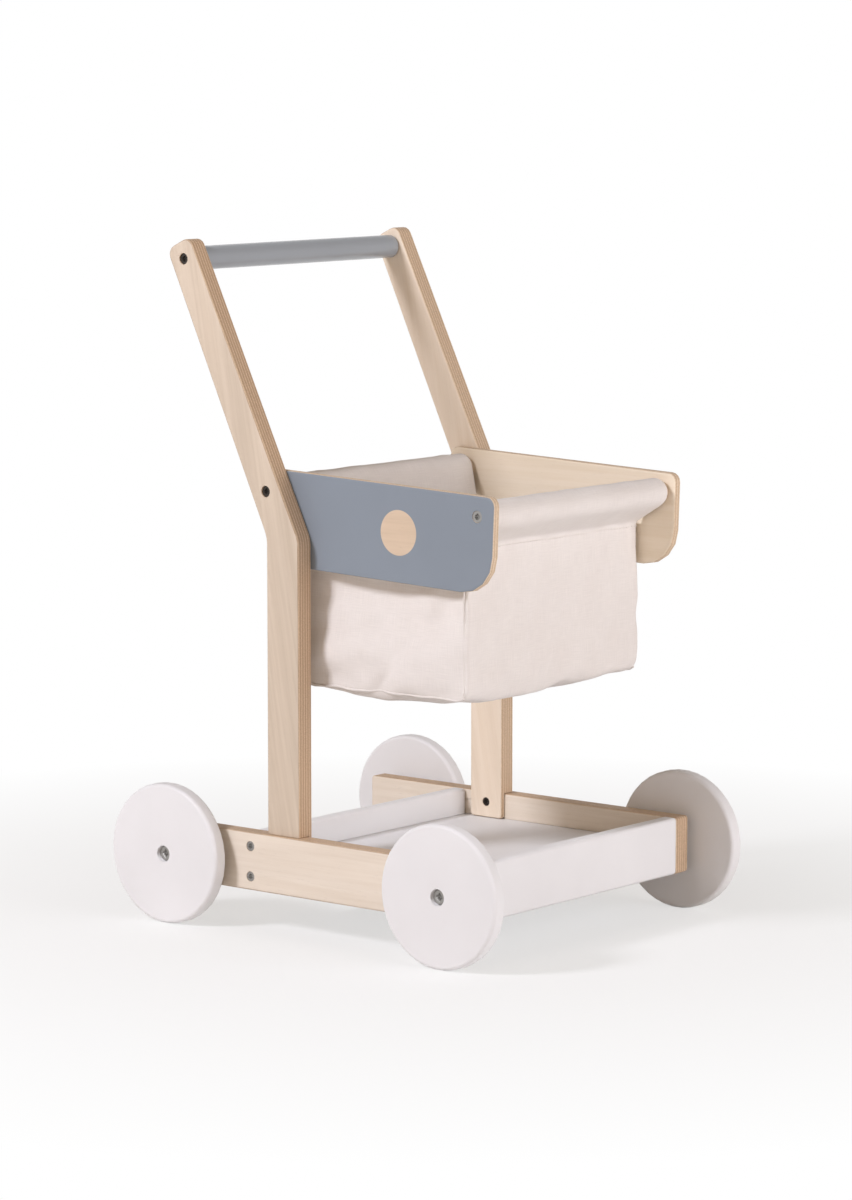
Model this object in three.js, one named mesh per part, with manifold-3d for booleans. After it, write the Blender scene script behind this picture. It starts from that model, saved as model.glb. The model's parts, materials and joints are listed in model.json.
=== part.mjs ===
// A child's toy shopping cart of birch plywood: a tray on four wheels, two bent uprights with a
// handle bar, and a linen bag that hangs on two rods between side panels.
// Millimetres. X runs across the cart, its front looks along -Y, and Z points up from the floor.
import * as THREE from 'three';
import { mergeVertices } from 'three/addons/utils/BufferGeometryUtils.js';
import Module from 'manifold-3d';

const wasm = await Module();
wasm.setup();

// Fits and finish
const FIT_GAP = 0.3; // between pieces that seat on each other
const RUN_GAP = 0.3; // between a wheel and what it turns on
const EDGE_EASE = 1.2; // sanded edges of the plywood
const CORNER_ROUND = 2.5; // sanded corners of rails and boards

// Wheels and axles
const WHEEL_DIAMETER = 107;
const WHEEL_THICKNESS = 12;
const WHEEL_EDGE_ROUND = 3;
const WHEEL_RECESS_DIAMETER = 12.6;
const WHEEL_RECESS_DEPTH = 6;
const WHEELBASE = 267.4;
const SPACER_DIAMETER = 16;
const SPACER_LENGTH = 6.4;
const AXLE_END_GAP = 0.8; // from the bolt's end to the insert's
const INSERT_DIAMETER = 9.6;
const INSERT_WALL = 1.6; // left between an insert's hole and the floor's groove

// Tray
const TRAY_WIDTH = 237; // clear width between the rails
const TRAY_LENGTH = 194.5; // clear length between the boards
const RAIL_THICKNESS = 15;
const RAIL_HEIGHT = 44;
const RAIL_FRONT_OVERHANG = 16.3; // past the front axle
const RAIL_REAR_OVERHANG = 20.3; // past the rear axle
const BOARD_THICKNESS = 12;
const BOARD_SCREW_SPACING = 23.2;
const FLOOR_THICKNESS = 5;
const FLOOR_DEPTH = 20.1; // from the rails' top down to the floor's top
const GROOVE_DEPTH = 3;

// Uprights and handle
const UPRIGHT_THICKNESS = 15;
const UPRIGHT_INSET = 4.1; // from the rail's outer face to the upright's
const UPRIGHT_FOOT_WIDTH = 31;
const UPRIGHT_BOARD_GAP = 8; // from the foot's rear edge back to the rear board
const BEND_HEIGHT = 223.8; // from the rails' top up to the bend
const BEND_ROUND = 25;
const ARM_LENGTH = 226; // from the bend to the handle's axis
const ARM_LEAN = THREE.MathUtils.degToRad(25.4);
const ARM_TIP_WIDTH = 24.4;
const ARM_TIP_OVERHANG = 13; // past the handle's axis
const ARM_TIP_ROUND = 7;
const FOOT_SCREW_DROP = 7.5; // below the rails' top
const HANDLE_DIAMETER = 18;

// Side panels and rods
const REAR_ROD_RISE = 38; // from the bend up the arm
const ROD_SPACING = 188.8;
const ROD_LINE_RISE = THREE.MathUtils.degToRad(2.1); // the rods' line climbs to the rear
const ROD_DIAMETER = 19;
const PANEL_THICKNESS = 7;
const PANEL_ABOVE_RODS = 15.2;
const PANEL_BELOW_RODS = 56.6;
const PANEL_FRONT_OVERHANG = 15.1; // past the front rod
const PANEL_REAR_OVERHANG = 11; // past the rear rod, along the rods' line
const PANEL_CORNER_ROUND = 7;
const PANEL_LOWER_FRONT_ROUND = 28;

// Bag
const CLOTH = 1.6; // two layers of linen with their seam
const BAG_SIDE_GAP = 3.1; // from a side panel to the bag
const BAG_FRONT_SETBACK = 17.3; // from the front rod's axis back to the front wall
const BAG_REAR_SETBACK = 15.8; // from the rear rod's axis forward to the rear wall
const BAG_DROP = 139; // from the front rod's axis down to the bag's bottom corners
const BAG_SAG = 3; // of the bottom's middle
const BAG_CORNER_ROUND = 12;
const BAG_SAG_ROUND = 320;
const HEM_DROP = 23; // from a rod's axis down to its tunnel's seam
const HEM_SEAM_ROUND = 0.5;
const BAG_SIDE_DROP = 2; // from the tunnels' seams down to the side walls' top

// Screws and bolts. A head lies under the face by its sink, and length is measured from that face.
const TIP_SHARE = 0.4; // a tip's flat as a share of the shank
const CROSS_WIDTH = 1.3;
const CROSS_SHARE = 0.56; // the cross recess as a share of the head
const CROSS_DEPTH = 1.6;
const AXLE_BOLT = { head: 10.6, headHeight: 3.4, flare: false, shank: 6, sink: 0, tip: 1 };
const FRAME_BOLT = { head: 8.4, headHeight: 3.4, flare: false, shank: 5, sink: 1.4, tip: 1 };
const HANDLE_BOLT_LENGTH = 46;
const ROD_BOLT_LENGTH = 52;
const ROD_SCREW = { head: 8.6, headHeight: 3.2, flare: true, shank: 4.5, sink: 0.4, tip: 3 };
const ROD_SCREW_LENGTH = 34;
const BOARD_SCREW = { head: 7.4, headHeight: 2.8, flare: true, shank: 4, sink: 0.3, tip: 3 };
const BOARD_SCREW_LENGTH = 38;
const FOOT_SCREW = { head: 6.8, headHeight: 2.2, flare: true, shank: 3.5, sink: 0.6, tip: 2.5 };
const FOOT_SCREW_LENGTH = 16;

// Fineness of the facets
const ARC_STEPS = 2; // each arc gets twice as many flats
const HEM_STEPS = 7;
const EASE_STEPS = 2;
const WHEEL_SIDES = 40;
const RIM_STEPS = 3;
const ROD_SIDES = 20;
const BUSH_SIDES = 12;
const SCREW_SIDES = 12;
const OVERCUT = 2; // how far a cut runs past the face that it opens

// Finishes
const BIRCH = { color: 0xe2cfb4, roughness: 0.6, metalness: 0 };
const GREY_PAINT = { color: 0x89929c, roughness: 0.5, metalness: 0 };
const WHITE_PAINT = { color: 0xe6e3e0, roughness: 0.5, metalness: 0 };
const LINEN = { color: 0xe6ded6, roughness: 0.9, metalness: 0 };
const ZINC_STEEL = { color: 0xb5b2ad, roughness: 0.4, metalness: 1 };
const DARK_STEEL = { color: 0x3a3632, roughness: 0.4, metalness: 1 };
const NYLON = { color: 0xd8d4cc, roughness: 0.5, metalness: 0 };

// Places that follow from the sizes. Distances across the cart count from its middle plane.
const axleHeight = WHEEL_DIAMETER / 2;
const railTop = axleHeight + RAIL_HEIGHT / 2;
const railBottom = axleHeight - RAIL_HEIGHT / 2;
const railInner = TRAY_WIDTH / 2;
const railOuter = railInner + RAIL_THICKNESS;
const railFront = -WHEELBASE / 2 - RAIL_FRONT_OVERHANG;
const railRear = WHEELBASE / 2 + RAIL_REAR_OVERHANG;
const floorTop = railTop - FLOOR_DEPTH;
const floorBottom = floorTop - FLOOR_THICKNESS;
const trayFront = railFront + BOARD_THICKNESS;
const trayRear = trayFront + TRAY_LENGTH;
const insertHole = RAIL_THICKNESS - GROOVE_DEPTH - FIT_GAP - INSERT_WALL;
const insertLength = insertHole - 2 * FIT_GAP;

const uprightOuter = railOuter - UPRIGHT_INSET;
const uprightInner = uprightOuter - UPRIGHT_THICKNESS;
const footRear = trayRear - UPRIGHT_BOARD_GAP;
const footFront = footRear - UPRIGHT_FOOT_WIDTH;
const footMiddle = (footFront + footRear) / 2;
const bendTop = railTop + BEND_HEIGHT;
const armUp = new THREE.Vector2(Math.sin(ARM_LEAN), Math.cos(ARM_LEAN));
const armBack = new THREE.Vector2(armUp.y, -armUp.x);
const bend = new THREE.Vector2(footMiddle, bendTop);
const handle = bend.clone().addScaledVector(armUp, ARM_LENGTH);

const panelOuter = uprightInner - FIT_GAP;
const panelInner = panelOuter - PANEL_THICKNESS;
const panelBack = new THREE.Vector2(Math.cos(ROD_LINE_RISE), Math.sin(ROD_LINE_RISE));
const panelUp = new THREE.Vector2(-panelBack.y, panelBack.x);
const rearRod = bend.clone().addScaledVector(armUp, REAR_ROD_RISE);
const frontRod = rearRod.clone().addScaledVector(panelBack, -ROD_SPACING);

const SIDES = { left: -1, right: 1 };
const ENDS = { front: -1, rear: 1 };

// Closed three.js geometry as a solid that can be cut and joined
function solid(geometry) {
  const bare = geometry.clone();
  bare.deleteAttribute('normal');
  bare.deleteAttribute('uv');
  const merged = mergeVertices(bare);
  return new wasm.Manifold(new wasm.Mesh({
    numProp: 3,
    vertProperties: merged.attributes.position.array,
    triVerts: new Uint32Array(merged.index.array),
  }));
}

function geometryOf(piece) {
  const { vertProperties, triVerts } = piece.getMesh();
  const geometry = new THREE.BufferGeometry();
  geometry.setAttribute('position', new THREE.BufferAttribute(vertProperties, 3));
  geometry.setIndex(new THREE.BufferAttribute(triVerts, 1));
  return geometry;
}

// Outline in the YZ plane through corners [y, z, radius], with a tangent arc at each corner
function outline(corners) {
  const shape = new THREE.Shape();
  corners.forEach(([y, z, radius], i) => {
    const corner = new THREE.Vector2(y, z);
    const [before, after] = [i - 1, (i + 1) % corners.length].map((neighbour) => {
      const [nextY, nextZ] = corners.at(neighbour);
      return new THREE.Vector2(nextY, nextZ).sub(corner).normalize();
    });
    const half = Math.acos(before.dot(after)) / 2;
    const inward = before.clone().add(after).normalize();
    const centre = corner.clone().addScaledVector(inward, radius / Math.sin(half));
    const [start, end] = [before, after].map((way) => (
      corner.clone().addScaledVector(way, radius / Math.tan(half)).sub(centre).angle()
    ));
    shape.absarc(centre.x, centre.y, radius, start, end, before.cross(after) > 0);
  });
  return shape;
}

function rectangle(front, rear, bottom, top, round = CORNER_ROUND) {
  return outline([[front, bottom, round], [rear, bottom, round], [rear, top, round], [front, top, round]]);
}

// The shape's x and y become Y and Z, and its depth runs along X
const ACROSS = new THREE.Matrix4().makeBasis(
  new THREE.Vector3(0, 1, 0),
  new THREE.Vector3(0, 0, 1),
  new THREE.Vector3(1, 0, 0),
);

// Board with sanded edges, cut to an outline, from one X to another
function board(shape, [from, to], ease = EDGE_EASE, arcSteps = ARC_STEPS) {
  const geometry = new THREE.ExtrudeGeometry(shape, {
    depth: to - from - 2 * ease,
    bevelEnabled: ease > 0,
    bevelThickness: ease,
    bevelSize: ease,
    bevelOffset: -ease,
    bevelSegments: EASE_STEPS,
    curveSegments: arcSteps,
  });
  geometry.translate(0, 0, from + ease).applyMatrix4(ACROSS);
  return solid(geometry);
}

function block([fromX, toX], [fromY, toY], [fromZ, toZ]) {
  const geometry = new THREE.BoxGeometry(toX - fromX, toY - fromY, toZ - fromZ);
  geometry.translate((fromX + toX) / 2, (fromY + toY) / 2, (fromZ + toZ) / 2);
  return solid(geometry);
}

// Both distances from the middle plane as a range of X on one side
const onSide = (side, inner, outer) => (side < 0 ? [-outer, -inner] : [inner, outer]);

// Turned form about X, from points [x, radius]; its flats lie square to Y and Z
function turned(profile, sides) {
  const points = profile.map(([x, radius]) => new THREE.Vector2(radius, x));
  return new THREE.LatheGeometry(points, sides, Math.PI / sides).rotateZ(-Math.PI / 2);
}

// Radius of a corner, for flats that touch the true circle
const overFlats = (radius, sides) => radius / Math.cos(Math.PI / sides);

// A quarter round of a turned profile, from one direction to the next, counted from -X towards the rim
function quarterRound(x, radius, round, fromAngle) {
  return Array.from({ length: RIM_STEPS + 1 }, (_, step) => {
    const angle = fromAngle + (step / RIM_STEPS) * (Math.PI / 2);
    return [x - round * Math.cos(angle), radius + round * Math.sin(angle)];
  });
}

// Round stick between two X, with sanded rims
function stick(diameter, [from, to], centre) {
  const radius = diameter / 2;
  const profile = [
    [from, 0],
    [from, radius - EDGE_EASE],
    [from + EDGE_EASE, radius],
    [to - EDGE_EASE, radius],
    [to, radius - EDGE_EASE],
    [to, 0],
  ];
  return solid(turned(profile, ROD_SIDES).translate(0, centre.x, centre.y));
}

// Screw along X with its head's face at x = -sink; grown and opened, the same profile is its hole
function screwProfile({ head, headHeight, flare, shank, sink, tip }, length, grow = 0, over = 0) {
  const headRadius = head / 2 + grow;
  const shankRadius = shank / 2 + grow;
  const under = -sink - headHeight - grow;
  return [
    [-length - grow, 0],
    [-length - grow, shankRadius * TIP_SHARE],
    [-length + tip, shankRadius],
    [under, shankRadius],
    ...(flare ? [] : [[under, headRadius]]),
    [-sink, headRadius],
    ...(over > 0 ? [[over, headRadius]] : []),
    [over > 0 ? over : -sink, 0],
  ];
}

function screw(spec, length) {
  const span = spec.head * CROSS_SHARE;
  const slot = [-spec.sink - CROSS_DEPTH, OVERCUT];
  const long = [-span / 2, span / 2];
  const narrow = [-CROSS_WIDTH / 2, CROSS_WIDTH / 2];
  return solid(turned(screwProfile(spec, length), SCREW_SIDES))
    .subtract(block(slot, long, narrow))
    .subtract(block(slot, narrow, long));
}

// Every screw and bolt of the frame: where its face is and which way its head looks
const fixings = [];
for (const [side, sign] of Object.entries(SIDES)) {
  const fix = (name, spec, length, finish, x, y, z, looks = sign) => {
    fixings.push({ name: `${side}_${name}`, spec, length, finish, looks, place: [sign * x, y, z] });
  };
  fix('handle_bolt', FRAME_BOLT, HANDLE_BOLT_LENGTH, DARK_STEEL, uprightOuter, handle.x, handle.y);
  fix('rear_rod_bolt', FRAME_BOLT, ROD_BOLT_LENGTH, DARK_STEEL, uprightOuter, rearRod.x, rearRod.y);
  fix('front_rod_screw', ROD_SCREW, ROD_SCREW_LENGTH, ZINC_STEEL, panelOuter, frontRod.x, frontRod.y);
  fix('foot_screw', FOOT_SCREW, FOOT_SCREW_LENGTH, DARK_STEEL,
    uprightInner, footMiddle, railTop - FOOT_SCREW_DROP, -sign);
  for (const [end, face] of [['front', railFront], ['rear', trayRear]]) {
    for (const [level, rise] of [['lower', -1], ['upper', 1]]) {
      fix(`${end}_${level}_board_screw`, BOARD_SCREW, BOARD_SCREW_LENGTH, ZINC_STEEL,
        railOuter, face + BOARD_THICKNESS / 2, axleHeight + (rise * BOARD_SCREW_SPACING) / 2);
    }
  }
}

const facing = (looks) => (looks < 0 ? Math.PI : 0);

const holes = fixings.map(({ spec, length, looks, place }) => (
  solid(turned(screwProfile(spec, length, FIT_GAP, OVERCUT), SCREW_SIDES)
    .rotateZ(facing(looks))
    .translate(...place))
));

const drilled = (piece) => holes.reduce((rest, hole) => rest.subtract(hole), piece);

const cart = new THREE.Group();

function add(parent, name, piece, finish) {
  const material = new THREE.MeshStandardMaterial({ ...finish, flatShading: true });
  const mesh = new THREE.Mesh(geometryOf(piece), material);
  mesh.name = name;
  parent.add(mesh);
  return mesh;
}

// Grooves for the floor run round the tray on the rails' and boards' inner faces
const groove = block(
  [-railInner - GROOVE_DEPTH - FIT_GAP, railInner + GROOVE_DEPTH + FIT_GAP],
  [trayFront - GROOVE_DEPTH - FIT_GAP, trayRear + GROOVE_DEPTH + FIT_GAP],
  [floorBottom - FIT_GAP, floorTop + FIT_GAP],
);

// A rail is drilled for its inserts, and grooved for the floor
function rail(sign) {
  const shape = rectangle(railFront, railRear, railBottom, railTop);
  const pocket = onSide(sign, railOuter - insertHole, railOuter + OVERCUT);
  const radius = INSERT_DIAMETER / 2 + FIT_GAP;
  const profile = [[pocket[0], 0], [pocket[0], radius], [pocket[1], radius], [pocket[1], 0]];
  const hole = turned(profile, BUSH_SIDES);
  return Object.values(ENDS).reduce(
    (rest, end) => rest.subtract(solid(hole.clone().translate(0, (end * WHEELBASE) / 2, axleHeight))),
    board(shape, onSide(sign, railInner, railOuter)).subtract(groove),
  );
}

// An upright stands on the rail's top with its shoulder, and its tongue goes down inside the rail
function upright(sign) {
  const tip = handle.clone().addScaledVector(armUp, ARM_TIP_OVERHANG);
  const tipFront = tip.clone().addScaledVector(armBack, -ARM_TIP_WIDTH / 2);
  const tipRear = tip.clone().addScaledVector(armBack, ARM_TIP_WIDTH / 2);
  const tongueBottom = floorTop + FIT_GAP;
  const shape = outline([
    [footRear, tongueBottom, CORNER_ROUND],
    [footRear, bendTop, BEND_ROUND],
    [tipRear.x, tipRear.y, ARM_TIP_ROUND],
    [tipFront.x, tipFront.y, ARM_TIP_ROUND],
    [footFront, bendTop, BEND_ROUND],
    [footFront, tongueBottom, CORNER_ROUND],
  ]);
  const rebate = block(
    onSide(sign, railInner - FIT_GAP, uprightOuter + OVERCUT),
    [footFront - OVERCUT, footRear + OVERCUT],
    [tongueBottom - OVERCUT, railTop + FIT_GAP],
  );
  return board(shape, onSide(sign, uprightInner, uprightOuter)).subtract(rebate);
}

// A side panel lies along the rods' line, and its rear end is cut along the arm behind the upright
function sidePanel(sign) {
  const front = frontRod.clone().addScaledVector(panelBack, -PANEL_FRONT_OVERHANG);
  const rear = rearRod.clone().addScaledVector(panelBack, PANEL_REAR_OVERHANG);
  const alongArm = armUp.clone().divideScalar(armUp.dot(panelUp));
  const lowerFront = front.clone().addScaledVector(panelUp, -PANEL_BELOW_RODS);
  const upperFront = front.clone().addScaledVector(panelUp, PANEL_ABOVE_RODS);
  const lowerRear = rear.clone().addScaledVector(alongArm, -PANEL_BELOW_RODS);
  const upperRear = rear.clone().addScaledVector(alongArm, PANEL_ABOVE_RODS);
  const shape = outline([
    [lowerFront.x, lowerFront.y, PANEL_LOWER_FRONT_ROUND],
    [lowerRear.x, lowerRear.y, PANEL_CORNER_ROUND],
    [upperRear.x, upperRear.y, PANEL_CORNER_ROUND],
    [upperFront.x, upperFront.y, PANEL_CORNER_ROUND],
  ]);
  return board(shape, onSide(sign, panelInner, panelOuter));
}

// Belt round two circles, as the section of a hem tunnel from its rod to its seam
function belt(path, rod, rodRadius, seam, seamRadius) {
  const way = seam.clone().sub(rod);
  const spread = Math.acos((rodRadius - seamRadius) / way.length());
  path.absarc(rod.x, rod.y, rodRadius, way.angle() + spread, way.angle() - spread);
  path.absarc(seam.x, seam.y, seamRadius, way.angle() - spread, way.angle() + spread);
  return path;
}

function hemTunnel(rod, seam, width) {
  const inside = ROD_DIAMETER / 2 + FIT_GAP;
  const shape = belt(new THREE.Shape(), rod, inside + CLOTH, seam, HEM_SEAM_ROUND + CLOTH);
  shape.holes.push(belt(new THREE.Path(), rod, inside, seam, HEM_SEAM_ROUND));
  return board(shape, width, 0, HEM_STEPS);
}

// The bag is a sling from tunnel to tunnel, closed by two side walls that end below the tunnels
function bag() {
  const half = panelInner - BAG_SIDE_GAP;
  const width = [-half, half];
  const bottom = frontRod.y - BAG_DROP;
  const frontSeam = new THREE.Vector2(frontRod.x + BAG_FRONT_SETBACK, frontRod.y - HEM_DROP);
  const rearSeam = new THREE.Vector2(rearRod.x - BAG_REAR_SETBACK, rearRod.y - HEM_DROP);
  const middle = (frontSeam.x + rearSeam.x) / 2;
  const [frontOuter, frontInner] = [frontSeam.x - CLOTH / 2, frontSeam.x + CLOTH / 2];
  const [rearOuter, rearInner] = [rearSeam.x + CLOTH / 2, rearSeam.x - CLOTH / 2];
  const bottomLine = (front, rear, low, round) => [
    [front, low, round],
    [middle, low - BAG_SAG, BAG_SAG_ROUND],
    [rear, low, round],
  ];
  const outside = bottomLine(frontOuter, rearOuter, bottom, BAG_CORNER_ROUND);
  const inside = bottomLine(frontInner, rearInner, bottom + CLOTH, BAG_CORNER_ROUND - CLOTH);
  const sling = outline([
    ...outside,
    [rearOuter, rearSeam.y, HEM_SEAM_ROUND],
    [rearInner, rearSeam.y, HEM_SEAM_ROUND],
    ...inside.toReversed(),
    [frontInner, frontSeam.y, HEM_SEAM_ROUND],
    [frontOuter, frontSeam.y, HEM_SEAM_ROUND],
  ]);
  const wall = outline([
    ...outside,
    [rearOuter, rearSeam.y - BAG_SIDE_DROP, HEM_SEAM_ROUND],
    [frontOuter, frontSeam.y - BAG_SIDE_DROP, HEM_SEAM_ROUND],
  ]);
  const walls = Object.values(SIDES).map((sign) => board(wall, onSide(sign, half - CLOTH, half), 0));
  const tunnels = [hemTunnel(frontRod, frontSeam, width), hemTunnel(rearRod, rearSeam, width)];
  return [...walls, ...tunnels].reduce((joined, cloth) => joined.add(cloth), board(sling, width, 0));
}

// The tray
for (const [side, sign] of Object.entries(SIDES)) {
  add(cart, `${side}_rail`, drilled(rail(sign)), BIRCH);
}
const boardReach = [-railInner + FIT_GAP, railInner - FIT_GAP];
for (const [end, face] of [['front', railFront], ['rear', trayRear]]) {
  const shape = rectangle(face, face + BOARD_THICKNESS, railBottom, railTop);
  add(cart, `${end}_board`, drilled(board(shape, boardReach).subtract(groove)), WHITE_PAINT);
}
const floor = block(
  [-railInner - GROOVE_DEPTH, railInner + GROOVE_DEPTH],
  [trayFront - GROOVE_DEPTH, trayRear + GROOVE_DEPTH],
  [floorBottom, floorTop],
);
add(cart, 'tray_floor', floor, WHITE_PAINT);

// The uprights with their handle bar
for (const [side, sign] of Object.entries(SIDES)) {
  add(cart, `${side}_upright`, drilled(upright(sign)), BIRCH);
}
const handleReach = [-uprightInner + FIT_GAP, uprightInner - FIT_GAP];
add(cart, 'handle_bar', drilled(stick(HANDLE_DIAMETER, handleReach, handle)), GREY_PAINT);

// The side panels, the rods between them and the bag on the rods
for (const [side, sign] of Object.entries(SIDES)) {
  add(cart, `${side}_side_panel`, drilled(sidePanel(sign)), GREY_PAINT);
}
const rodReach = [-panelInner + FIT_GAP, panelInner - FIT_GAP];
add(cart, 'front_rod', drilled(stick(ROD_DIAMETER, rodReach, frontRod)), BIRCH);
add(cart, 'rear_rod', drilled(stick(ROD_DIAMETER, rodReach, rearRod)), BIRCH);
add(cart, 'cloth_bag', bag(), LINEN);

for (const { name, spec, length, finish, looks, place } of fixings) {
  const mesh = add(cart, name, screw(spec, length), finish);
  mesh.position.set(...place);
  mesh.rotation.z = facing(looks);
}

// A wheel with its spacer, bolt and insert. Here x counts outwards from the rail's outer face.
const spacerFrom = FIT_GAP;
const spacerTo = spacerFrom + SPACER_LENGTH;
const wheelFrom = spacerTo + RUN_GAP;
const wheelTo = wheelFrom + WHEEL_THICKNESS;
const recessFloor = wheelTo - WHEEL_RECESS_DEPTH;
const axleHole = AXLE_BOLT.shank / 2 + RUN_GAP;
const axleFace = recessFloor + RUN_GAP + AXLE_BOLT.headHeight;
const axleLength = axleFace + FIT_GAP + insertLength - AXLE_END_GAP;

function wheel() {
  const rim = overFlats(WHEEL_DIAMETER / 2, WHEEL_SIDES);
  const recess = WHEEL_RECESS_DIAMETER / 2;
  const profile = [
    [wheelFrom, axleHole],
    ...quarterRound(wheelFrom + WHEEL_EDGE_ROUND, rim - WHEEL_EDGE_ROUND, WHEEL_EDGE_ROUND, 0),
    ...quarterRound(wheelTo - WHEEL_EDGE_ROUND, rim - WHEEL_EDGE_ROUND, WHEEL_EDGE_ROUND, Math.PI / 2),
    [wheelTo, recess],
    [recessFloor, recess],
    [recessFloor, axleHole],
    [wheelFrom, axleHole],
  ];
  return solid(turned(profile, WHEEL_SIDES));
}

function tube(from, to, outer, inner) {
  const profile = [[from, inner], [from, outer], [to, outer], [to, inner], [from, inner]];
  return solid(turned(profile, BUSH_SIDES));
}

for (const [end, endSign] of Object.entries(ENDS)) {
  for (const [side, sideSign] of Object.entries(SIDES)) {
    const name = `${end}_${side}`;
    const corner = new THREE.Group();
    corner.position.set(sideSign * railOuter, (endSign * WHEELBASE) / 2, axleHeight);
    corner.rotation.z = facing(sideSign);
    cart.add(corner);
    add(corner, `${name}_wheel`, wheel(), WHITE_PAINT);
    add(corner, `${name}_spacer`, tube(spacerFrom, spacerTo, SPACER_DIAMETER / 2, axleHole), NYLON);
    const insert = tube(-FIT_GAP - insertLength, -FIT_GAP, INSERT_DIAMETER / 2, axleHole);
    add(corner, `${name}_insert`, insert, ZINC_STEEL);
    const bolt = add(corner, `${name}_axle_bolt`, screw(AXLE_BOLT, axleLength), ZINC_STEEL);
    bolt.position.x = axleFace;
  }
}

export default cart;
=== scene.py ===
"""A child's toy shopping cart: birch plywood frame, painted boards and wheels, and a sewn linen bag.

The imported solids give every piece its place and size, in metres. Their front looks along -Y.
"""

import json
import math

import bmesh
import bpy
import numpy as np
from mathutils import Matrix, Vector, noise

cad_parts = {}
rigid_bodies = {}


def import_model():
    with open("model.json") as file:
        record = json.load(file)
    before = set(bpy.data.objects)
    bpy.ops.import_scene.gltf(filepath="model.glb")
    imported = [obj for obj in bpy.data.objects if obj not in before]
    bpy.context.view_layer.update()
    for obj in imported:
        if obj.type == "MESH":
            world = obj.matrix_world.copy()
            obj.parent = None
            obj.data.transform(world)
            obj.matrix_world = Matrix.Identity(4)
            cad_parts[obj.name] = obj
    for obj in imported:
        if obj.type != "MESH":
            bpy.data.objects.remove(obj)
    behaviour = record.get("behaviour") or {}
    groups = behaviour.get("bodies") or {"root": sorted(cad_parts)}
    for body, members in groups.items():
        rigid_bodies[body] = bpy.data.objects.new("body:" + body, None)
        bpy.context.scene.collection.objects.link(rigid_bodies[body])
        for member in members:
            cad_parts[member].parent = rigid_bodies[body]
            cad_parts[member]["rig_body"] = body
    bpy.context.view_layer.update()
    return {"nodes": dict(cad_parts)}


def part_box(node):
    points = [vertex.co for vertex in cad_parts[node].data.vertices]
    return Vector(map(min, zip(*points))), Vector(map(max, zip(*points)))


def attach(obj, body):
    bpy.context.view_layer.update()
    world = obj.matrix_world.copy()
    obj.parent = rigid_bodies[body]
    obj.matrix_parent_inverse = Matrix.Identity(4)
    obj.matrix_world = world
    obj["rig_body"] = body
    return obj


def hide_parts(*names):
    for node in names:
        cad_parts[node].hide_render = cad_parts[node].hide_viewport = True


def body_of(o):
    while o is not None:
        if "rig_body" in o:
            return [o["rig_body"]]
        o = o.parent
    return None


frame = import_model()
scene = bpy.context.scene
scene.view_settings.view_transform = "Standard"


# Camera
# A long lens a little above the bag's rim looks at the cart's left front corner, as the photograph does.
camera_place = Vector((-2.5645, -2.0878, 0.6781))
camera_target = Vector((-0.0004, 0.0005, 0.2433))
camera = bpy.data.objects.new("camera", bpy.data.cameras.new("camera"))
camera.location = camera_place
camera.rotation_euler = (camera_target - camera_place).to_track_quat("-Z", "Y").to_euler()
camera.data.sensor_fit = "VERTICAL"
camera.data.sensor_height = 36
camera.data.lens = 131.5
camera.data.clip_end = 50
scene.collection.objects.link(camera)
scene.camera = camera


# Studio
# White seamless paper under the cart, a cool soft key from its left and a little behind, a broad fill
# from its front, and a warm surround that is brighter at eye level than overhead.
def colour(code):
    """Linear colour of an sRGB hex code."""
    parts = [int(code[i : i + 2], 16) / 255 for i in (1, 3, 5)]
    return [c / 12.92 if c <= 0.04045 else ((c + 0.055) / 1.055) ** 2.4 for c in parts] + [1.0]


def add(tree, kind, inputs=None, out=None, **settings):
    """A node with its settings, and its inputs set to values or linked from sockets. Gives an output socket."""
    node = tree.nodes.new(kind)
    for key, value in settings.items():
        setattr(node, key, value)
    for key, value in (inputs or {}).items():
        if isinstance(value, bpy.types.NodeSocket):
            tree.links.new(value, node.inputs[key])
        else:
            node.inputs[key].default_value = value
    if out:
        return node.outputs[out]
    return next((socket for socket in node.outputs if socket.enabled), None)


def empty_tree(owner):
    """The owner's node tree, with nothing in it."""
    owner.use_nodes = True
    owner.node_tree.nodes.clear()
    return owner.node_tree


def seen_rays(tree):
    """One for what the camera sees, also in a mirror or through glass, and nought for light on the cart."""
    rays = add(tree, "ShaderNodeLightPath", out="Is Camera Ray").node.outputs
    bent = add(tree, "ShaderNodeMath", {0: rays["Is Glossy Ray"], 1: rays["Is Transmission Ray"]},
               operation="MAXIMUM")
    return add(tree, "ShaderNodeMath", {0: rays["Is Camera Ray"], 1: bent}, operation="MAXIMUM")


scene.world = bpy.data.worlds.new("white_surround")
tree = empty_tree(scene.world)
sky = add(tree, "ShaderNodeTexCoord", out="Generated")
height = add(tree, "ShaderNodeSeparateXYZ", {0: sky}, out="Z")
dim = add(tree, "ShaderNodeMapRange", {"Value": height, "From Max": 0.9, "To Min": 0.62, "To Max": 0.11})
surround = add(tree, "ShaderNodeBackground", {"Color": colour("#ffe3c6"), "Strength": dim})
overhead = add(tree, "ShaderNodeMapRange", {"Value": height, "From Min": 0.3, "From Max": 0.9, "To Min": 1.0, "To Max": 0.3})
white_wall = add(tree, "ShaderNodeBackground", {"Color": colour("#ffffff"), "Strength": overhead})
both = add(tree, "ShaderNodeMixShader", {0: seen_rays(tree), 1: surround, 2: white_wall})
add(tree, "ShaderNodeOutputWorld", {"Surface": both})

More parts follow.
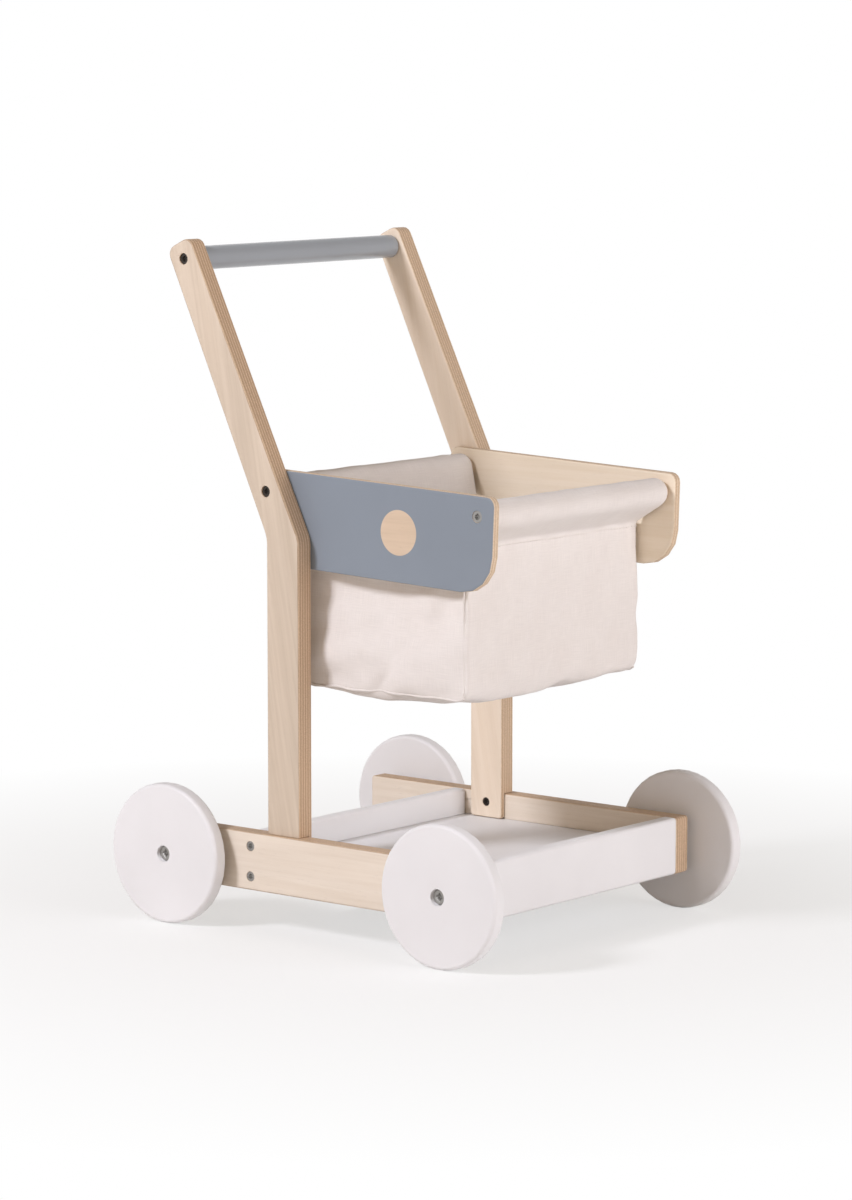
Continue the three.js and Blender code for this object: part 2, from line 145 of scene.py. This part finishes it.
lamps = {
    "key": {"towards": (-1.0, 0.33, 0.7), "distance": 2.4, "size": 0.45, "watts": 40, "tint": "#f4f5ff"},
    "fill": {"towards": (0.1, -1.0, 0.2), "distance": 2.6, "size": 1.6, "watts": 39, "tint": "#f7f7ff"},
}
for name, spec in lamps.items():
    towards = Vector(spec["towards"]).normalized()
    lamp = bpy.data.objects.new(name, bpy.data.lights.new(name, "AREA"))
    lamp.data.size = spec["size"]
    lamp.data.energy = spec["watts"]
    lamp.data.color = colour(spec["tint"])[:3]
    lamp.location = camera_target + towards * spec["distance"]
    lamp.rotation_euler = (-towards).to_track_quat("-Z", "Y").to_euler()
    scene.collection.objects.link(lamp)

# White paper: matt, and it takes the cart's shadow near the wheels but is bare white further off.
paper = bpy.data.materials.new("white studio paper")
tree = empty_tree(paper)
place = add(tree, "ShaderNodeTexCoord", out="Object")
away = add(tree, "ShaderNodeVectorMath", {0: place}, operation="LENGTH")
bare = add(tree, "ShaderNodeMapRange", {"Value": away, "From Min": 0.2, "From Max": 0.75, "To Min": 0.6})
share = add(tree, "ShaderNodeMath", {0: seen_rays(tree), 1: bare}, operation="MULTIPLY")
matt = add(tree, "ShaderNodeBsdfDiffuse", {"Color": colour("#f4f3f1")})
glow = add(tree, "ShaderNodeEmission", {"Color": colour("#ffffff"), "Strength": 1.0})
both = add(tree, "ShaderNodeMixShader", {0: share, 1: matt, 2: glow})
add(tree, "ShaderNodeOutputMaterial", {"Surface": both})
bpy.ops.mesh.primitive_plane_add(size=24)
studio_floor = bpy.context.object
studio_floor.name = "studio_floor"
studio_floor.data.materials.append(paper)


# Rails
# Two straight lengths of 15 mm birch plywood that carry the wheels and the tray's boards. They are sawn,
# grooved for the tray's floor, sanded and finished with clear matt lacquer.
MM = 0.001
RAIL_PLY = 15 * MM
PLIES = 11


def piece(node, material, round_below=40):
    """A node's solid with its rounds smooth and its edges, from an angle in degrees up, crisp."""
    source = frame["nodes"][node]
    form = bmesh.new()
    form.from_mesh(source.data)
    bmesh.ops.remove_doubles(form, verts=form.verts, dist=0.001 * MM)
    mesh = bpy.data.meshes.new(node + "_piece")
    form.to_mesh(mesh)
    form.free()
    mesh.shade_smooth()
    mesh.set_sharp_from_angle(angle=math.radians(round_below))
    mesh.materials.clear()
    mesh.materials.append(material)
    made = bpy.data.objects.new(node + "_piece", mesh)
    scene.collection.objects.link(made)
    made.modifiers.new("flat faces", "WEIGHTED_NORMAL").keep_sharp = True
    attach(made, body_of(source)[0])
    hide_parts(node)
    return made


def scaled(tree, tint, factor):
    """A colour made lighter or darker."""
    return add(tree, "ShaderNodeVectorMath", {0: tint, "Scale": factor}, operation="SCALE")


def mixed(tree, factor, first, second):
    """A colour between two, where sockets 6 and 7 are the node's two colours."""
    return add(tree, "ShaderNodeMix", {0: factor, 6: first, 7: second}, data_type="RGBA")


def veneer(tree, along, tones, slant=0.0):
    """Colour of sliced birch whose grain runs along an axis: pale silky streaks with short darker pores.

    Real pores are a tenth of a millimetre wide, and are drawn wider here so that they show.
    """
    place = add(tree, "ShaderNodeTexCoord", out="Object")
    turned = add(tree, "ShaderNodeMapping", {"Vector": place, "Rotation": (slant, 0, 0)})

    def streaks(width, length, detail):
        scale = [1 / (width * MM)] * 3
        scale[along] = 1 / (length * MM)
        drawn = add(tree, "ShaderNodeMapping", {"Vector": turned, "Scale": scale})
        return add(tree, "ShaderNodeTexNoise", {"Vector": drawn, "Scale": 1.0, "Detail": detail, "Roughness": 0.6})

    silk = add(tree, "ShaderNodeMapRange", {"Value": streaks(4, 120, 4), "From Min": 0.3, "From Max": 0.7})
    cloud = add(tree, "ShaderNodeMapRange",
                {"Value": streaks(30, 200, 1), "From Min": 0.3, "From Max": 0.7, "To Min": 0.95, "To Max": 1.03})
    pores = add(tree, "ShaderNodeMapRange",
                {"Value": streaks(0.9, 8, 2), "From Min": 0.62, "From Max": 0.75, "To Min": 1.0, "To Max": 0.93})
    wood = mixed(tree, silk, colour(tones[0]), colour(tones[1]))
    return scaled(tree, scaled(tree, wood, cloud), pores)


def ply_edge(tree, inner, ply, tones):
    """Colour of a plywood edge, whose plies lie across X: long grain, end grain and glue lines."""
    place = add(tree, "ShaderNodeTexCoord", out="Object")
    x = add(tree, "ShaderNodeSeparateXYZ", {0: place}, out="X")
    depth = add(tree, "ShaderNodeMath", {0: x}, operation="ABSOLUTE")
    wander = add(tree, "ShaderNodeTexNoise", {"Vector": place, "Scale": 1 / (25 * MM), "Detail": 1.0})
    depth = add(tree, "ShaderNodeMath", {0: wander, 1: 0.6 * MM, 2: depth}, operation="MULTIPLY_ADD")
    layer = add(tree, "ShaderNodeMapRange", {"Value": depth, "From Min": inner, "From Max": inner + ply}, clamp=False)
    pair = add(tree, "ShaderNodeMath", {0: layer, 1: 2.0}, operation="FLOORED_MODULO")
    end_grain = add(tree, "ShaderNodeMath", {0: pair, 1: 1.0}, operation="GREATER_THAN")
    joint = add(tree, "ShaderNodeMath", {0: layer, 1: 0.5}, operation="PINGPONG")
    glue = add(tree, "ShaderNodeMapRange", {"Value": joint, "From Min": 0.08, "From Max": 0.01})
    fibre = add(tree, "ShaderNodeTexNoise", {"Vector": place, "Scale": 1 / (1.1 * MM), "Detail": 2.0})
    rough = add(tree, "ShaderNodeMapRange",
                {"Value": fibre, "From Min": 0.3, "From Max": 0.7, "To Min": 0.85, "To Max": 1.08})
    wood = mixed(tree, end_grain, colour(tones[0]), colour(tones[1]))
    return scaled(tree, mixed(tree, glue, wood, colour(tones[2])), rough)


def broad_faces(tree):
    """One on the faces that look along X, and nought on the sawn edges."""
    normal = add(tree, "ShaderNodeTexCoord", out="Normal")
    x = add(tree, "ShaderNodeSeparateXYZ", {0: normal}, out="X")
    square = add(tree, "ShaderNodeMath", {0: x}, operation="ABSOLUTE")
    return add(tree, "ShaderNodeMapRange", {"Value": square, "From Min": 0.72, "From Max": 0.9})


def lacquered(tree, wood):
    """Clear matt lacquer over a wood's colour, which leaves a little of the grain's relief to catch light."""
    grey = add(tree, "ShaderNodeRGBToBW", {0: wood})
    bump = add(tree, "ShaderNodeBump", {"Height": grey, "Strength": 0.25, "Distance": 0.3 * MM})
    return add(tree, "ShaderNodeBsdfPrincipled",
               {"Base Color": wood, "Roughness": 0.55, "Specular IOR Level": 0.35, "Normal": bump})


def plywood(name, tones, along, inner, thickness, slant=0.0, edge_tones=("#d3ba9c", "#bc9d80", "#98775c")):
    """Birch plywood under matt lacquer: pale silky faces, and browner edges striped by their plies."""
    made = bpy.data.materials.new(name)
    tree = empty_tree(made)
    edge = ply_edge(tree, inner, thickness / PLIES, edge_tones)
    wood = mixed(tree, broad_faces(tree), edge, veneer(tree, along, tones, slant))
    add(tree, "ShaderNodeOutputMaterial", {"Surface": lacquered(tree, wood)})
    return made


for side in ("left", "right"):
    low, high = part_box(side + "_rail")
    inner = min(abs(low.x), abs(high.x))
    rail_ply = plywood(f"birch plywood, {side} rail", ("#e3d6c5", "#ece1d2"), 1, inner, RAIL_PLY)
    piece(side + "_rail", rail_ply)


# Tray boards and floor
# Two 12 mm cross boards screwed between the rails, and a thin floor panel that lies loose in their
# grooves. They are sprayed white before they are put together.
def paint(tree, code, roughness, coat=0.0):
    """Sprayed satin enamel: one even colour, with an orange peel of about 1.5 mm that breaks up its sheen."""
    place = add(tree, "ShaderNodeTexCoord", out="Object")
    peel = add(tree, "ShaderNodeTexNoise", {"Vector": place, "Scale": 1 / (1.4 * MM), "Detail": 2.0})
    cloud = add(tree, "ShaderNodeTexNoise", {"Vector": place, "Scale": 1 / (70 * MM), "Detail": 3.0})
    shade = add(tree, "ShaderNodeMapRange",
                {"Value": cloud, "From Min": 0.3, "From Max": 0.7, "To Min": 0.97, "To Max": 1.02})
    bump = add(tree, "ShaderNodeBump", {"Height": peel, "Strength": 0.06, "Distance": 0.3 * MM})
    return add(tree, "ShaderNodeBsdfPrincipled", {
        "Base Color": scaled(tree, colour(code)[:3], shade),
        "Roughness": roughness,
        "Specular IOR Level": 0.4,
        "Coat Weight": coat,
        "Coat Roughness": 0.18,
        "Normal": bump,
    })


white = bpy.data.materials.new("white enamel on plywood")
tree = empty_tree(white)
add(tree, "ShaderNodeOutputMaterial", {"Surface": paint(tree, "#e8e8e9", 0.5)})
for node in ("front_board", "rear_board", "tray_floor"):
    piece(node, white)


# Uprights
# Each is sawn in one piece from 15 mm birch plywood: a straight leg, a bend and an arm that tapers to the
# handle. A shoulder stands on the rail and a tongue is screwed to its inside. The two boards differ in tone.
upright_tones = {"left": ("#c8b8a4", "#d5c6b3"), "right": ("#e8d7c1", "#f0e1ce")}
edge_tones = {"left": ("#d3ba9c", "#bc9d80", "#98775c"), "right": ("#dbc5aa", "#c9ad90", "#a58468")}
GRAIN_SLANT = math.radians(10)
for side, tones in upright_tones.items():
    low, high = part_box(side + "_upright")
    inner = min(abs(low.x), abs(high.x))
    upright_ply = plywood(f"birch plywood, {side} upright", tones, 2, inner, RAIL_PLY, GRAIN_SLANT, edge_tones[side])
    piece(side + "_upright", upright_ply)


# Handle bar
# An 18 mm turned dowel between the arms' tips, held by a bolt at each end. Its grey enamel is glossier than
# the panels', so it mirrors the pale room along its length.
grey = bpy.data.materials.new("grey gloss enamel on a dowel")
tree = empty_tree(grey)
add(tree, "ShaderNodeOutputMaterial", {"Surface": paint(tree, "#959ba1", 0.35, coat=0.6)})
piece("handle_bar", grey)


# Side panels
# Thin birch plywood panels between the uprights and the rods. The outer face is sprayed grey through a
# mask that leaves a disc of bare wood, and the inner face and the edges stay bare.
PANEL_PLY = 7 * MM
PANEL_PLIES = 5
DISC_RADIUS = 16.8 * MM
disc_centre = (0, -66.1 * MM, 309.8 * MM)
for side, sign in (("left", -1), ("right", 1)):
    node = side + "_side_panel"
    low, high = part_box(node)
    inner = min(abs(low.x), abs(high.x))
    panel = bpy.data.materials.new(f"grey enamel and bare birch, {side} panel")
    tree = empty_tree(panel)
    normal = add(tree, "ShaderNodeTexCoord", out="Normal")
    x = add(tree, "ShaderNodeSeparateXYZ", {0: normal}, out="X")
    outside = add(tree, "ShaderNodeMapRange", {"Value": x, "From Min": 0.55 * sign, "From Max": 0.7 * sign})
    place = add(tree, "ShaderNodeTexCoord", out="Object")
    flat = add(tree, "ShaderNodeVectorMath", {0: place, 1: (0, 1, 1)}, operation="MULTIPLY")
    reach = add(tree, "ShaderNodeVectorMath", {0: flat, 1: disc_centre}, operation="DISTANCE")
    beyond = add(tree, "ShaderNodeMapRange",
                 {"Value": reach, "From Min": DISC_RADIUS - 0.1 * MM, "From Max": DISC_RADIUS + 0.1 * MM})
    sprayed = add(tree, "ShaderNodeMath", {0: outside, 1: beyond}, operation="MULTIPLY")
    # The bare inner face is drawn far paler than the bare outer face of the same birch: painted light on the panels'
    # inner faces.
    inner_face_painted_light, outer_face = (veneer(tree, 1, tones) for tones in (("#f0e1c9", "#f7ead6"), ("#cab49b", "#d5c0a8")))
    face = mixed(tree, outside, inner_face_painted_light, outer_face)
    edge = ply_edge(tree, inner, PANEL_PLY / PANEL_PLIES, ("#e0ccb2", "#d0b698", "#b2937a"))
    wood = mixed(tree, broad_faces(tree), edge, face)
    both = add(tree, "ShaderNodeMixShader", {0: sprayed, 1: lacquered(tree, wood), 2: paint(tree, "#848d97", 0.5)})
    add(tree, "ShaderNodeOutputMaterial", {"Surface": both})
    piece(node, panel)


# Rods
# Two 19 mm birch dowels that run through the bag's hems from panel to panel, screwed at their ends.
# Sanded dowel shows long fine streaks along its length.
dowel = bpy.data.materials.new("sanded birch dowel")
tree = empty_tree(dowel)
add(tree, "ShaderNodeOutputMaterial", {"Surface": lacquered(tree, veneer(tree, 0, ("#dcc8b5", "#e6d4c3")))})
for node in ("front_rod", "rear_rod"):
    piece(node, dowel)


# Bag
# Undyed linen, sewn from one long strip with two side flaps. The strip's ends are hemmed into tunnels for
# the rods, and the bag hangs empty from them: slack walls, a soft bottom, rolled seams at its corners.
STEP = 4 * MM
WALL_STEPS, BOTTOM_STEPS, HEM_STEPS, WIDTH_STEPS = 29, 39, 25, 52
HALF_WIDTH = 103.5 * MM
HEM_DROP = 23 * MM
HEM_RADIUS = 10.7 * MM
LAP, LAP_GAP = 5 * MM, 1.3 * MM
FRONT_SETBACK, REAR_SETBACK = 17.3 * MM, 15.8 * MM
BAG_DROP = 138 * MM
BOTTOM_ROUND = 10 * MM
SIDE_SLACK = 14 * MM
BOTTOM_SAG = 4 * MM
FOLD_DEPTH = 3.4 * MM
CRUMPLE = 0.5 * MM
PUCKER = 1.2 * MM
front_rod, rear_rod = (sum(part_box(node), Vector()).yz / 2 for node in ("front_rod", "rear_rod"))
front_seam = front_rod + Vector((FRONT_SETBACK, -HEM_DROP))
rear_seam = rear_rod + Vector((-REAR_SETBACK, -HEM_DROP))
bag_bottom = front_rod.y - BAG_DROP


def even_steps(points, count):
    """The line through points, cut into steps of one length."""
    points = np.array(points)
    run = np.concatenate([[0], np.cumsum(np.linalg.norm(np.diff(points, axis=0), axis=1))])
    even = np.linspace(0, run[-1], count + 1)
    return np.stack([np.interp(even, run, points[:, i]) for i in range(2)], axis=1)


def hem_tunnel(rod, seam, inward):
    """The hem's line in the YZ plane: from its seam up the outside, over the rod and down inside the wall."""
    way = seam - rod
    middle = math.atan2(way.y, way.x)
    spread = math.acos(HEM_RADIUS / way.length)
    turns = middle - inward * np.linspace(spread, 2 * math.pi - spread, 40)
    round_rod = [(rod.x + HEM_RADIUS * math.cos(a), rod.y + HEM_RADIUS * math.sin(a)) for a in turns]
    lap = (seam.x + inward * LAP_GAP, seam.y - LAP)
    return even_steps([tuple(seam), *round_rod, lap], HEM_STEPS)


def bottom_corner(wall_y, inward, start, stop):
    """Part of the rounded turn from a wall to the bottom, between two angles that count down the wall."""
    centre_y, centre_z = wall_y + inward * BOTTOM_ROUND, bag_bottom + BOTTOM_ROUND
    turns = np.linspace(start, stop, 6)
    return [(centre_y - inward * BOTTOM_ROUND * math.cos(a), centre_z - BOTTOM_ROUND * math.sin(a)) for a in turns]


half_turn, turn = math.pi / 4, math.pi / 2
front_wall = even_steps([tuple(front_seam), *bottom_corner(front_seam.x, 1, 0, half_turn)], WALL_STEPS)
bottom = even_steps([*bottom_corner(front_seam.x, 1, half_turn, turn),
                     *bottom_corner(rear_seam.x, -1, turn, half_turn)], BOTTOM_STEPS)
rear_wall = even_steps([*bottom_corner(rear_seam.x, -1, half_turn, 0), tuple(rear_seam)], WALL_STEPS)

form = bmesh.new()
threads = form.loops.layers.uv.new("threads")
across = np.linspace(-HALF_WIDTH, HALF_WIDTH, WIDTH_STEPS + 1)


def row(point):
    """Points across the bag at one place of its section."""
    return [form.verts.new((x, *point)) for x in across]


def cloth(rows):
    """Faces between rows of points, with the threads' lengths as their UV."""
    for j, (low, high) in enumerate(zip(rows, rows[1:])):
        for i in range(len(low) - 1):
            face = form.faces.new((low[i], low[i + 1], high[i + 1], high[i]))
            for loop, (u, v) in zip(face.loops, ((i, j), (i + 1, j), (i + 1, j + 1), (i, j + 1))):
                loop[threads].uv = (u * STEP, v * STEP)


front_row, rear_row = row(front_seam), row(rear_seam)
hems = []
for rod, seam, seam_row, inward in ((front_rod, front_seam, front_row, 1), (rear_rod, rear_seam, rear_row, -1)):
    hems.append([seam_row, *[row(point) for point in hem_tunnel(rod, seam, inward)[1:]]])
sling = [front_row, *[row(point) for point in [*front_wall[1:], *bottom[1:], *rear_wall[1:-1]]], rear_row]
for strip in (sling, *hems):
    cloth(strip)
rims = {-1: [line[0] for line in sling], 1: [line[-1] for line in sling]}
for sign, rim in rims.items():
    front_edge, base = rim[: WALL_STEPS + 1], rim[WALL_STEPS : WALL_STEPS + BOTTOM_STEPS + 1]
    rear_edge = rim[WALL_STEPS + BOTTOM_STEPS :][::-1]
    flap = []
    for j in range(WALL_STEPS):
        down = j / WALL_STEPS
        line = [front_edge[j]]
        for i in range(1, BOTTOM_STEPS):
            back = i / BOTTOM_STEPS
            top = front_edge[0].co.lerp(rear_edge[0].co, back)
            low = front_edge[-1].co.lerp(rear_edge[-1].co, back)
            level = front_edge[j].co.lerp(rear_edge[j].co, back)
            slack = math.sin(math.pi * down) * (1 - 1.6 * down) * math.sin(math.pi * back) ** 0.5
            inward = Vector((-sign * SIDE_SLACK * slack, 0, 0))
            line.append(form.verts.new(level + (base[i].co - low) * down + inward))
        flap.append([*line, rear_edge[j]])
    cloth([*flap, base])
bmesh.ops.recalc_face_normals(form, faces=form.faces)
form.verts.index_update()
held = {vertex.index for hem in hems for line in hem for vertex in line}
rim_runs = {sign: [vertex.index for vertex in rim] for sign, rim in rims.items()}
stitch_runs = {-1: [vertex.index for vertex in sling[1]], 1: [vertex.index for vertex in sling[-2]]}
for line in sling[WALL_STEPS : WALL_STEPS + BOTTOM_STEPS + 1]:
    for vertex in line:
        back = (vertex.co.y - front_seam.x) / (rear_seam.x - front_seam.x)
        side = vertex.co.x / HALF_WIDTH
        vertex.co.z -= BOTTOM_SAG * math.sin(math.pi * back) * math.cos(math.pi / 2 * side)
for vertex in form.verts:
    unevenness = (0.4 if vertex.index in held else 1.2) * MM
    vertex.co += unevenness * noise.noise_vector(vertex.co / (22 * MM))
bag_mesh = bpy.data.meshes.new("linen_bag")
form.to_mesh(bag_mesh)
form.free()
bag = bpy.data.objects.new("linen_bag", bag_mesh)
scene.collection.objects.link(bag)

# The walls and bottom settle between the held hems. Starched linen carries most of its own weight.
SETTLE_FRAMES = 30
bag.vertex_groups.new(name="held").add(sorted(held), 1.0, "REPLACE")
drape = bag.modifiers.new("drape", "CLOTH")
drape.settings.quality = 8
drape.settings.mass = 0.1
drape.settings.tension_stiffness = 80
drape.settings.compression_stiffness = 80
drape.settings.shear_stiffness = 27
drape.settings.bending_stiffness = 0.1
drape.settings.air_damping = 4
drape.settings.shrink_min = -0.005
drape.settings.effector_weights.gravity = 0.02
drape.settings.vertex_group_mass = "held"
drape.point_cache.frame_end = SETTLE_FRAMES
for moment in range(1, SETTLE_FRAMES + 1):
    scene.frame_set(moment)
hung = bag.evaluated_get(bpy.context.evaluated_depsgraph_get()).data
places = np.empty(len(hung.vertices) * 3)
hung.vertices.foreach_get("co", places)
bag.modifiers.remove(drape)
bag.vertex_groups.clear()
bag_mesh.vertices.foreach_set("co", places)
bag_mesh.update()
scene.frame_set(1)

# Soft folds, deepest low on the side flaps, where the bag was packed flat, and small puckers in the hems.
settled = [vertex.co.copy() for vertex in bag_mesh.vertices]
for vertex, point in zip(bag_mesh.vertices, settled):
    x, y, z = point
    if vertex.index in held:
        rod = front_rod if y < (front_rod.x + rear_rod.x) / 2 else rear_rod
        off_rod = (point.yz - rod).normalized()
        pucker = PUCKER * max(noise.noise(Vector((70 * x, 90 * y + 5, 90 * z))), 0)
        vertex.co = point + pucker * Vector((0, *off_rod))
    else:
        down = min(max((front_seam.y - z) / (front_seam.y - bag_bottom), 0), 1)
        slackness = down * (0.3 + abs(vertex.normal.x))
        fold = FOLD_DEPTH * slackness * noise.noise(Vector((26 * x + 3, 30 * y + 1, 55 * z + 7)))
        crumple = CRUMPLE * noise.noise(Vector((75 * x, 75 * y, 95 * z)))
        vertex.co = point + (fold + crumple) * vertex.normal
bag_mesh.shade_smooth()
thickness = bag.modifiers.new("cloth thickness", "SOLIDIFY")
thickness.thickness = 0.9 * MM
thickness.offset = 0
soft = bag.modifiers.new("soft curve", "SUBSURF")
soft.levels = soft.render_levels = 1

# Linen: a matt plain weave with slubs, long thick places in the yarn, that make fine crossed lines.
SLUB_WIDTH, SLUB_LENGTH = 0.55 * MM, 14 * MM
linen = bpy.data.materials.new("undyed linen")
tree = empty_tree(linen)
weave = add(tree, "ShaderNodeTexCoord", out="UV")
slubs = []
for scale in ((1 / SLUB_WIDTH, 1 / SLUB_LENGTH, 1), (1 / SLUB_LENGTH, 1 / SLUB_WIDTH, 1)):
    drawn = add(tree, "ShaderNodeMapping", {"Vector": weave, "Scale": scale})
    slubs.append(add(tree, "ShaderNodeTexNoise", {"Vector": drawn, "Scale": 1.0, "Detail": 1.0}))
yarn = add(tree, "ShaderNodeMath", {0: slubs[0], 1: slubs[1]}, operation="ADD")
place = add(tree, "ShaderNodeTexCoord", out="Object")
cloud = add(tree, "ShaderNodeTexNoise", {"Vector": place, "Scale": 1 / (40 * MM), "Detail": 3.0})
fleck = add(tree, "ShaderNodeMapRange",
            {"Value": yarn, "From Min": 0.7, "From Max": 1.3, "To Min": 0.955, "To Max": 1.03})
tone = scaled(tree, mixed(tree, cloud, colour("#e2dcd7"), colour("#ebe7e3")), fleck)
bump = add(tree, "ShaderNodeBump", {"Height": yarn, "Strength": 0.3, "Distance": 0.3 * MM})
flax = add(tree, "ShaderNodeBsdfPrincipled", {
    "Base Color": tone,
    "Roughness": 0.9,
    "Specular IOR Level": 0.15,
    "Sheen Weight": 0.1,
    "Normal": bump,
})
add(tree, "ShaderNodeOutputMaterial", {"Surface": flax})
bag_mesh.materials.append(linen)


def sewn(name, lines, radius):
    """Rolled seams or stitches of the bag's linen, round in section, along lines of points."""
    data = bpy.data.curves.new(name, "CURVE")
    data.dimensions = "3D"
    data.bevel_depth = radius
    data.bevel_resolution = 2
    data.use_fill_caps = True
    for points in lines:
        spline = data.splines.new("POLY")
        spline.points.add(len(points) - 1)
        for spot, point in zip(spline.points, points):
            spot.co = (*point, 1)
    data.materials.append(linen)
    made = bpy.data.objects.new(name, data)
    scene.collection.objects.link(made)
    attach(made, "cart")
    return made


# The strip wraps round the side flaps' edges, so their upright seams lie a little behind the corners.
SEAM_SETBACK = 3.2 * MM
seam_lines = []
for sign, run in rim_runs.items():
    spots = [bag_mesh.vertices[index].co for index in run]
    first, last = WALL_STEPS, WALL_STEPS + BOTTOM_STEPS
    seam_lines.append([spot + Vector((sign * 0.3 * MM, SEAM_SETBACK, 0)) for spot in spots[1:first]])
    seam_lines.append([spot + Vector((sign * 0.3 * MM, -SEAM_SETBACK, 0)) for spot in spots[last:-1]])
    seam_lines.append(spots[first : last + 1])
stitch_lines = []
for outward, run in stitch_runs.items():
    spots = [bag_mesh.vertices[index].co + Vector((0, outward * 0.7 * MM, 0)) for index in run]
    for start, stop in zip(spots, spots[1:]):
        stitch_lines.append([start.lerp(stop, 0.12), start.lerp(stop, 0.88)])
seams = sewn("bag_seams", seam_lines, 0.9 * MM)
stitches = sewn("hem_stitches", stitch_lines, 0.3 * MM)
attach(bag, "cart")
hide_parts("cloth_bag")


# Wheels
# Four discs of 12 mm plywood with rounded rims, sprayed white like the tray. Each turns by itself on a
# bolt whose head lies in a recess, beside a nylon bush that keeps it off the rail.
ENDS, SIDES = ("front", "rear"), ("left", "right")
corners = [f"{end}_{side}" for end in ENDS for side in SIDES]
for corner in corners:
    piece(corner + "_wheel", white)

# Nylon: moulded, milky and a little waxy, with faint flow marks.
nylon = bpy.data.materials.new("moulded nylon")
tree = empty_tree(nylon)
place = add(tree, "ShaderNodeTexCoord", out="Object")
flow = add(tree, "ShaderNodeTexNoise", {"Vector": place, "Scale": 1 / (3 * MM), "Detail": 2.0})
milky = mixed(tree, flow, colour("#d2cec6"), colour("#dedad3"))
waxy = add(tree, "ShaderNodeBsdfPrincipled", {"Base Color": milky, "Roughness": 0.45, "Subsurface Weight": 0.1})
add(tree, "ShaderNodeOutputMaterial", {"Surface": waxy})
for corner in corners:
    piece(corner + "_spacer", nylon, 30)


# Screws and bolts
# Zinc plated countersunk screws and axle bolts, and blackened bolts and screws on the uprights, all with
# cross recesses. The axle bolts go into threaded steel inserts in the rails.
def steel(name, code, roughness):
    """Plated steel: a grey mirror, softened by scratches that are drawn 0.4 mm apart so that they show."""
    made = bpy.data.materials.new(name)
    tree = empty_tree(made)
    place = add(tree, "ShaderNodeTexCoord", out="Object")
    scratch = add(tree, "ShaderNodeTexNoise", {"Vector": place, "Scale": 1 / (0.4 * MM), "Detail": 2.0})
    worn = add(tree, "ShaderNodeMapRange",
               {"Value": scratch, "To Min": roughness - 0.1, "To Max": roughness + 0.1})
    metal = add(tree, "ShaderNodeBsdfPrincipled", {"Base Color": colour(code), "Metallic": 1.0, "Roughness": worn})
    add(tree, "ShaderNodeOutputMaterial", {"Surface": metal})
    return made


zinc = steel("zinc plated steel", "#9b9894", 0.4)
black = steel("blackened steel", "#45413d", 0.45)
for corner in corners:
    piece(corner + "_axle_bolt", zinc, 30)
    piece(corner + "_insert", zinc, 30)
for side in SIDES:
    piece(side + "_front_rod_screw", zinc, 30)
    for end in ENDS:
        for level in ("lower", "upper"):
            piece(f"{side}_{end}_{level}_board_screw", zinc, 30)
    for fixing in ("handle_bolt", "rear_rod_bolt", "foot_screw"):
        piece(f"{side}_{fixing}", black, 30)
